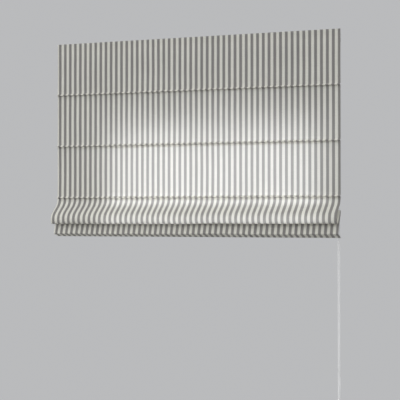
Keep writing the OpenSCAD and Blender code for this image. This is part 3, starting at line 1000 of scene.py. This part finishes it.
        rows, columns = len(line), len(x)
        here = [i * columns + j for i in range(rows - 1) for j in range(columns - 1)]
        shape = Shape()
        shape.add(points, [(k, k + columns, k + columns + 1, k + 1) for k in here])
        cut = run_lengths(points_of(x, behind))
        along = run_lengths(line)
        cloth = StripedCloth(float(cut[-1]), float(along[-1]), float(cut[hem_columns]))
        fabric = shape.piece("striped_fabric", cloth.material())
        corners = np.zeros(len(fabric.data.loops), np.int32)
        fabric.data.loops.foreach_get("vertex_index", corners)
        places = points_of((cut / cut[-1])[corners % columns], 1 - (along / along[-1])[corners // columns])
        layer = fabric.data.uv_layers.new(name=FLAT_CUT)
        layer.uv.foreach_set("vector", places.astype(np.float32).ravel())
        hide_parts("fabric")
        stitches = self.hem_stitches(line, rear)
        for piece in (fabric, stitches):
            self.hang(piece)

    def hem_stitches(self, line: np.ndarray, rear: np.ndarray) -> bpy.types.Object:
        """Stitches that close the side hems, on the back of the cloth.

        Args:
            line: Drop and reach of each row.
            rear: Direction to the back at each row, in drop and reach.

        Returns:
            The stitches, as one piece.
        """
        seat = line + rear * (self.side_hem_gap + self.stitch_proud)
        shape = Shape()
        for side in Side:
            at = self.drawn_in(line, np.array([side.value * (self.half - self.stitch_inset)]))
            Stitching().sew(shape, points_of(at[:, 0], self.mid_y - seat[:, 1], self.top - seat[:, 0]))
        return shape.piece("side_hem_stitches", self.finishes.thread)

    def hang(self, piece: bpy.types.Object) -> None:
        """Bake a piece's place in the scene into its mesh.

        Args:
            piece: The piece.
        """
        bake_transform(piece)


@dataclass
class ControlChain(SubAssembly):
    """Endless bead chain over the wheel at the right, and the sleeve that joins its ends.

    The route holds Y and Z in millimetres. The sleeve's outline holds shares of its length and radius.
    """

    bead: float = 4.5 * MM
    bead_sides: int = 10
    bead_rings: int = 7
    pitch: float = 6 * MM
    core: float = 1.3 * MM
    core_sides: int = 6
    steps: int = 8
    path_fine: int = 8
    sleeve_gap: float = 0.2 * MM
    sleeve_sides: int = 28
    sleeve_outline: tuple[Span, ...] = (
        (0.0, 0.94), (0.04, 1.0), (0.3, 1.0), (0.36, 0.93),
        (0.64, 0.93), (0.7, 1.0), (0.96, 1.0), (1.0, 0.94),
    )
    route: tuple[Span, ...] = (
        (-23.5, 12.5), (-26.5, 12.1), (-29.2, 11), (-31.6, 9.1), (-33.5, 6.8), (-34.6, 4), (-35, 1),
        (-35, -60), (-35, -240), (-35, -480), (-35, -720), (-35, -960), (-35, -1200), (-35, -1440),
        (-35, -1508), (-34.1, -1512.4), (-31.6, -1516.1), (-27.9, -1518.6), (-23.5, -1519.5),
        (-19.1, -1518.6), (-15.4, -1516.1), (-12.9, -1512.4), (-12, -1508),
        (-12, -1440), (-12, -1200), (-12, -960), (-12, -720), (-12, -480), (-12, -240), (-12, -60),
        (-12, 1), (-12.4, 4), (-13.5, 6.8), (-15.4, 9.1), (-17.8, 11), (-20.5, 12.1),
    )

    def build(self) -> None:
        """Build and dress the chain and its sleeve."""
        x = node_middle("control_chain")[0]
        loop = smooth_line([(x, y * MM, z * MM) for y, z in self.route], self.steps, True)
        ring = np.concatenate([loop, loop[:1]])
        length = float(run_lengths(ring)[-1])
        count = round(length / self.pitch)
        shape = Shape()
        ball, faces = self.ball()
        for middle in spaced(ring, count + 1)[:-1]:
            shape.add(middle + ball, faces)
        shape.tube(spaced(ring, 2 * count + 1)[:-1], self.core / 2, self.core_sides, True, 1)
        chain = shape.piece("bead_chain", self.finishes.beads, self.finishes.cord)
        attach(chain, Body.HEADRAIL.value)
        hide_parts("control_chain")
        sleeve = self.sleeve(x)

    def ball(self) -> tuple[np.ndarray, list[Face]]:
        """One bead about its own middle.

        Returns:
            Its points, one row each, and its faces.
        """
        sides, rings = self.bead_sides, self.bead_rings
        points = []
        for tilt in np.linspace(-0.5 * math.pi, 0.5 * math.pi, rings + 2)[1:-1]:
            for turn in full_turn(sides):
                flat = math.cos(tilt)
                points.append((flat * math.cos(turn), flat * math.sin(turn), math.sin(tilt)))
        points += [(0.0, 0.0, -1.0), (0.0, 0.0, 1.0)]
        faces = ring_faces(rings, sides)
        foot, head, last = rings * sides, rings * sides + 1, (rings - 1) * sides
        faces += [(foot, (k + 1) % sides, k) for k in range(sides)]
        faces += [(head, last + k, last + (k + 1) % sides) for k in range(sides)]
        return np.array(points) * self.bead / 2, faces

    def sleeve(self, x: float) -> bpy.types.Object:
        """The sleeve that joins the chain's ends.

        Args:
            x: The chain's place along the width.

        Returns:
            The sleeve.
        """
        low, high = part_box("chain_connector")
        radius, length = (high.y - low.y) / 2, high.z - low.z
        bore = self.bead / 2 + self.sleeve_gap
        outline = [(0.0, bore), *((share, r * radius) for share, r in self.sleeve_outline), (1.0, bore)]
        middle_y = node_middle("chain_connector")[1]
        points = [
            (x + r * math.cos(turn), middle_y + r * math.sin(turn), low.z + share * length)
            for share, r in outline
            for turn in full_turn(self.sleeve_sides)
        ]
        shape = Shape()
        shape.add(np.array(points), ring_faces(len(outline), self.sleeve_sides, True))
        made = shape.piece("chain_sleeve", self.finishes.milky)
        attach(made, Body.HEADRAIL.value)
        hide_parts("chain_connector")
        return made


@dataclass
class Headrail(SubAssembly):
    """Headrail, its brackets, the chain drive at its right end and the strips that hold the cloth."""

    fuzz: float = 0.06 * MM
    strip_columns: int = 240
    strip_rows: int = 9
    pile_fine: float = 5300.0
    pile_slow: float = 1900.0
    pile_step: float = 2.3

    def build(self) -> None:
        """Dress the solids and build the two strips."""
        self.dress(self.finishes.aluminium, "headrail", "drive_shaft")
        self.dress(self.finishes.paint, "bracket_left", "bracket_right")
        self.dress(self.finishes.plastic, "end_cap", "control_housing", "control_cover", "chain_wheel")
        self.dress(self.finishes.spring, "clutch_spring")
        for node in ("hook_strip", "loop_strip"):
            self.strip(node)

    def strip(self, node: str) -> None:
        """Build one of the two strips, with an uneven pile.

        Args:
            node: The node that it stands for.
        """
        low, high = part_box(node)
        levels = np.linspace(low.z, high.z, self.strip_rows)
        outline = np.array([(low.y, z) for z in levels] + [(high.y, z) for z in levels[::-1]])
        stations = np.linspace(low.x, high.x, self.strip_columns)
        turn = np.arange(len(outline))
        fine = np.sin(stations[:, None] * self.pile_fine + turn[None] * self.pile_step)
        ruffle = fine * np.cos(stations[:, None] * self.pile_slow)
        inward = np.where(turn < len(levels), 1.0, -1.0)
        shift = np.zeros((len(stations), len(outline), 2))
        shift[:, :, 0] = 0.5 * self.fuzz * (1 + ruffle) * inward[None]
        shape = Shape()
        shape.along_x(outline, stations, shift)
        made = shape.piece(node.replace("_", "_pile_"), self.finishes.pile, smooth=False)
        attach(made, Body.HEADRAIL.value)
        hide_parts(node)


@dataclass
class LiftGear(SubAssembly):
    """Cord spools in their cradles and the three lift cords."""

    fabric: BlindFabric
    cord: float = 1.4 * MM
    cord_rows: int = 180
    cord_sides: int = 10
    knot_rows: int = 40
    knot_inset: float = 0.1 * MM
    knot_turns: int = 2
    knot_tilt: float = 0.75
    yarn_share: float = 0.3
    barrel: float = 12.5 * MM
    turns: int = 6
    turn_rows: int = 26
    lead: float = 1.5 * MM
    beside_exit: float = 1.2
    coil_sides: int = 8

    def build(self) -> None:
        """Dress spools and cradles, and build the cords and what is wound on the spools."""
        for k in range(1, 4):
            self.dress(self.finishes.plastic, f"cord_spool_{k}", f"spool_cradle_{k}")
            self.lift_cord(k)
            self.winding(k)

    def lift_cord(self, k: int) -> None:
        """Build one lift cord, with the knot at its foot.

        Args:
            k: The cord's number, from the left.
        """
        low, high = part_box(f"lift_cord_{k}")
        x, y, _ = node_middle(f"lift_cord_{k}")
        knot = (high.x - low.x) / 2
        shape = Shape()
        levels = np.linspace(high.z, low.z + knot, self.cord_rows)
        shape.tube(points_of(x, y, levels), self.cord / 2, self.cord_sides)
        bend = np.linspace(0, self.knot_turns * TURN, self.knot_rows)
        yarn = self.yarn_share * self.cord
        size = knot - yarn
        wide = size - self.knot_inset
        rise = 0.5 * size * np.sin(self.knot_tilt * bend)
        coil = points_of(x + wide * np.cos(bend), y + wide * np.sin(bend), low.z + knot + rise)
        shape.tube(coil, yarn, self.coil_sides)
        made = shape.piece(f"braided_cord_{k}", self.finishes.cord)
        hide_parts(f"lift_cord_{k}")
        self.fabric.hang(made)

    def winding(self, k: int) -> None:
        """Build the cord that is wound on one spool.

        Args:
            k: The spool's number, from the left.
        """
        x, y, z = node_middle(f"cord_spool_{k}")
        radius = self.barrel + self.cord / 2
        angle = np.linspace(0, TURN * self.turns, self.turn_rows * self.turns)
        along = x + self.beside_exit * self.cord + self.lead * angle / TURN
        shape = Shape()
        line = points_of(along, y - radius * np.cos(angle), z + radius * np.sin(angle))
        shape.tube(line, self.cord / 2, self.coil_sides)
        made = shape.piece(f"cord_winding_{k}", self.finishes.cord)
        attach(made, Body.DRIVE.value)


@dataclass
class RodSet(SubAssembly):
    """Stiffening rods in their sewn pockets, with the rings that guide the cords."""

    layer: float = 0.35 * MM
    stations: int = 170
    arc_points: int = 22
    leg_points: int = 5
    slow_wave: float = 61.0
    quick_wave: float = 173.0
    quick_share: float = 0.6
    sway: float = 0.16 * MM
    sag: float = 0.25 * MM
    sag_shift: int = 31
    stitch_drop: float = 4.6 * MM
    stitch_inset: float = 2 * MM
    stitch_proud: float = 0.15 * MM

    def build(self) -> None:
        """Dress rods and rings, and build the pockets and their stitches."""
        for k, body in enumerate((Body.ROD_1, Body.ROD_2, Body.STACK, Body.STACK), 1):
            self.dress(self.finishes.rod, f"rod_{k}")
            self.dress(self.finishes.milky, f"cord_rings_{k}")
            self.pocket(k, body)
            self.seam(k, body)

    def pocket(self, k: int, body: Body) -> None:
        """Build one pocket: a tape folded round the rod, with its two layers together below it.

        Args:
            k: The rod's number, from the top.
            body: What the pocket rides on.
        """
        low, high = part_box(f"pocket_tape_{k}")
        _, y, z = node_middle(f"rod_{k}")
        half = self.layer / 2
        radius = high.z - z - half
        back = low.y + 1.5 * self.layer
        turns = np.linspace(0, math.pi + math.acos((y - back) / radius), self.arc_points)
        arc = [(y - radius * math.cos(turn), z + radius * math.sin(turn)) for turn in turns]
        front_leg = [(low.y + half, level) for level in np.linspace(low.z, z, self.leg_points)[:-1]]
        back_leg = [(back, level) for level in np.linspace(arc[-1][1], low.z, self.leg_points)[1:]]
        middle = np.array(front_leg + arc + back_leg)
        heading = headings(middle)
        across = points_of(-heading[:, 1], heading[:, 0])
        outline = np.concatenate([middle + half * across, (middle - half * across)[::-1]])
        stations = np.linspace(low.x, high.x, self.stations)
        hang = np.clip((z - outline[:, 1]) / (z - low.z), 0, 1) ** 2
        quick = self.quick_share * np.sin(stations * self.quick_wave + 2 * k)
        wave = np.sin(stations * self.slow_wave + k) + quick
        shift = np.zeros((len(stations), len(outline), 2))
        shift[:, :, 0] = (self.sway * (1 + self.quick_share + wave))[:, None] * hang[None]
        shift[:, :, 1] = (self.sag * np.roll(wave, self.sag_shift))[:, None] * hang[None]
        shape = Shape()
        shape.along_x(outline, stations, shift)
        made = shape.piece(f"rod_pocket_{k}", self.finishes.tape)
        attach(made, body.value)
        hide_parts(f"pocket_tape_{k}")

    def seam(self, k: int, body: Body) -> None:
        """Sew the two layers of one pocket together below the rod.

        Args:
            k: The rod's number, from the top.
            body: What the stitches ride on.
        """
        low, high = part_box(f"pocket_tape_{k}")
        ends = np.array([low.x + self.stitch_inset, high.x - self.stitch_inset])
        face = low.y + 2 * self.layer + self.stitch_proud
        shape = Shape()
        Stitching().sew(shape, points_of(ends, face, node_middle(f"rod_{k}")[2] - self.stitch_drop))
        sewn = shape.piece(f"pocket_stitches_{k}", self.finishes.thread)
        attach(sewn, body.value)


@dataclass
class BottomBar(SubAssembly):
    """Flat bar in the bottom hem, its caps and the stops that hold the cords' ends."""

    moulded: tuple[str, ...] = ("bar_cap_left", "bar_cap_right", "cord_stops")

    def build(self) -> None:
        """Dress the bar, its caps and the stops."""
        self.dress(self.finishes.aluminium, "bottom_bar")
        self.dress(self.finishes.plastic, *self.moulded)


# Studio

COOL = (0.905, 0.924, 1.0)


@dataclass(frozen=True)
class Lamp:
    """One soft lamp that the camera does not see.

    Its power is in watts, and the angle that it spreads over in degrees.
    """

    name: str
    place: Point
    target: Point
    wide: float
    high: float
    power: float
    spread: float = 180.0
    colour: Colour = (1.0, 1.0, 1.0)

    def build(self) -> None:
        """Hang the lamp."""
        data = bpy.data.lights.new(self.name, "AREA")
        data.shape = "RECTANGLE"
        data.size = self.wide
        data.size_y = self.high
        data.energy = self.power
        data.spread = math.radians(self.spread)
        data.color = self.colour
        lamp = bpy.data.objects.new(self.name, data)
        lamp.location = self.place
        lamp.rotation_euler = (Vector(self.target) - Vector(self.place)).to_track_quat("-Z", "Y").to_euler()
        lamp.visible_camera = False
        bpy.context.scene.collection.objects.link(lamp)


@dataclass
class Studio:
    """Camera, floor, background and lamps.

    The soft light round the blind fades behind it and below the horizon.
    """

    eye: Point = (1.88, -4.806, -0.7425)
    turn: float = 21.21
    tilt: float = 0.78
    lens: float = 107.5
    sensor: float = 36.0
    reach: Span = (0.05, 60.0)
    backdrop: Colour = (0.49, 0.495, 0.505)
    soft_colour: Colour = (0.97, 0.98, 1.0)
    front_light: float = 1.54
    back_light: float = 0.015
    back_fade: Span = (-0.35, 0.05)
    low_share: float = 0.02
    low_fade: Span = (-0.25, 0.25)
    floor_colour: Colour = (0.78, 0.78, 0.77)
    floor_level: float = -2.2
    floor_radius: float = 3.0
    floor_forward: float = 1.0
    floor_sides: int = 96
    lamps: tuple[Lamp, ...] = (
        Lamp("front_lamp", (-0.62, -1.2, -0.72), (-0.25, 0.0, -0.64), 1.2, 0.5, 2.5),
        Lamp("side_lamp", (1.6, -0.5, -0.8), (0.6, -0.05, -0.75), 0.5, 0.6, 0.6),
        Lamp("window_lamp", (0.086, 0.034, -0.534), (0.086, -0.966, -0.386), 0.96, 0.378, 1.97, 180.0, COOL),
        Lamp("sky_lamp", (0.1, 0.06, -0.607), (0.1, -0.94, -1.557), 1.0, 0.05, 0.265, 42.0, COOL),
    )

    def camera(self) -> None:
        """Set up the camera at the viewing angle."""
        data = bpy.data.cameras.new("camera")
        data.lens = self.lens
        data.sensor_width = self.sensor
        data.clip_start, data.clip_end = self.reach
        camera = bpy.data.objects.new("camera", data)
        turn, tilt = math.radians(self.turn), math.radians(self.tilt)
        way = Vector((-math.sin(turn) * math.cos(tilt), math.cos(turn) * math.cos(tilt), math.sin(tilt)))
        camera.location = self.eye
        camera.rotation_euler = way.to_track_quat("-Z", "Y").to_euler()
        bpy.context.scene.collection.objects.link(camera)
        bpy.context.scene.camera = camera

    def light(self) -> None:
        """Set up lamps, floor and background."""
        bpy.context.scene.view_settings.view_transform = "Standard"
        for lamp in self.lamps:
            lamp.build()
        self.floor()
        self.background()

    def floor(self) -> None:
        """A plain pale floor under the blind."""
        rim = self.floor_radius * spokes(self.floor_sides, np.array([1, 0, 0]), np.array([0, 1, 0]))
        rim += (0.0, -self.floor_forward, self.floor_level)
        board = new_board("pale_floor")
        cloud = board.noise(board.place(), 3.0, 3.0)
        tone = board.spread(cloud, NOISE, (0.98, 1.02))
        face = board.surface(base_color=board.shade(self.floor_colour, tone), roughness=0.7)
        shape = Shape()
        shape.add(rim, [tuple(range(self.floor_sides))])
        shape.piece("floor", board.finish(face))

    def background(self) -> None:
        """Soft light from the front, and a plain pale grey where the camera looks past the blind."""
        world = bpy.data.worlds.new("studio")
        bpy.context.scene.world = world
        board = Board(world, "OutputWorld")
        path = board.put("LightPath", {}).outputs
        clear = board.math("SUBTRACT", path["Is Transmission Ray"], path["Is Diffuse Ray"])
        mirrored = board.math("MAXIMUM", path["Is Glossy Ray"], clear)
        seen = board.math("MAXIMUM", path["Is Camera Ray"], mirrored)
        way = board.put("SeparateXYZ", {0: board.put("TexCoord", {}).outputs["Generated"]}).outputs
        depth = board.spread(way["Y"], self.back_fade, (self.front_light, self.back_light))
        height = board.spread(way["Z"], self.low_fade, (self.low_share, 1.0))
        strength = board.math("MULTIPLY", depth, height)
        lit = board.put("Background", {"Color": self.soft_colour, "Strength": strength})
        shown = board.put("Background", {"Color": self.backdrop})
        board.finish(board.mixed(seen, lit, shown))


def main() -> None:
    logging.basicConfig(level=logging.INFO, format="%(message)s")
    studio = Studio()
    studio.camera()
    finishes = Finishes()
    ControlChain(finishes).build()
    fabric = BlindFabric(finishes)
    fabric.build()
    Headrail(finishes).build()
    LiftGear(finishes, fabric).build()
    RodSet(finishes).build()
    BottomBar(finishes).build()
    studio.light()


if __name__ == "__main__":
    main()
